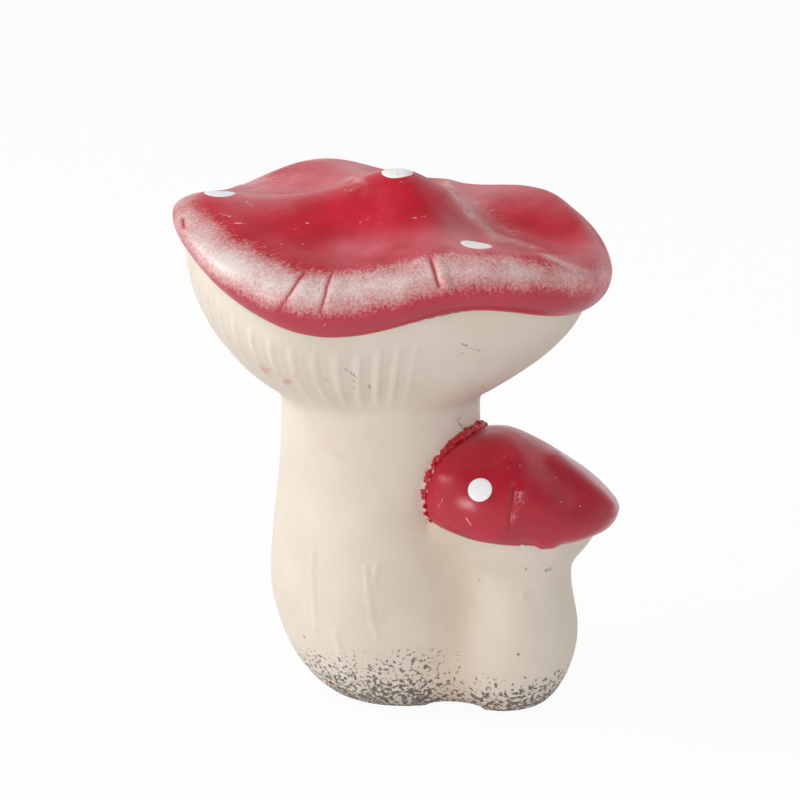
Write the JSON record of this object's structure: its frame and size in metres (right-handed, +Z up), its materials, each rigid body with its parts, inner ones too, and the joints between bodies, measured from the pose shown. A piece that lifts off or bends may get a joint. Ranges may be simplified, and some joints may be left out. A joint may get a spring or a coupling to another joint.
{
  "type": "ceramic toadstool ornament",
  "caption": "Free-standing hollow ceramic toadstool with a wavy red cap, a flared gill cup, a bulging stem and a small toadstool luted to its side.",
  "frame": {"origin": "centre of the large stem's foot, on the ground", "axes": "+Z up, +X to the side where the small toadstool stands, +Y to the back"},
  "size_m": [0.0969, 0.0778, 0.1172],
  "materials": {
    "cap_paint": "semi-gloss red paint, rubbed pale along the rim",
    "clay_body": "matte cream slip with a dark sponged speckle at the foot",
    "dot_enamel": "gloss white enamel"
  },
  "bodies": {
    "root": {"large_cap": "cap_paint", "large_gill_cup": "clay_body", "large_stem": "clay_body", "small_cap": "cap_paint", "small_gill_cup": "clay_body", "small_stem": "clay_body", "large_cap_dots": "dot_enamel", "small_cap_dots": "dot_enamel", "cap_slip_bead": "cap_paint", "stem_slip_bead": "clay_body"}
  },
  "joints": []
}
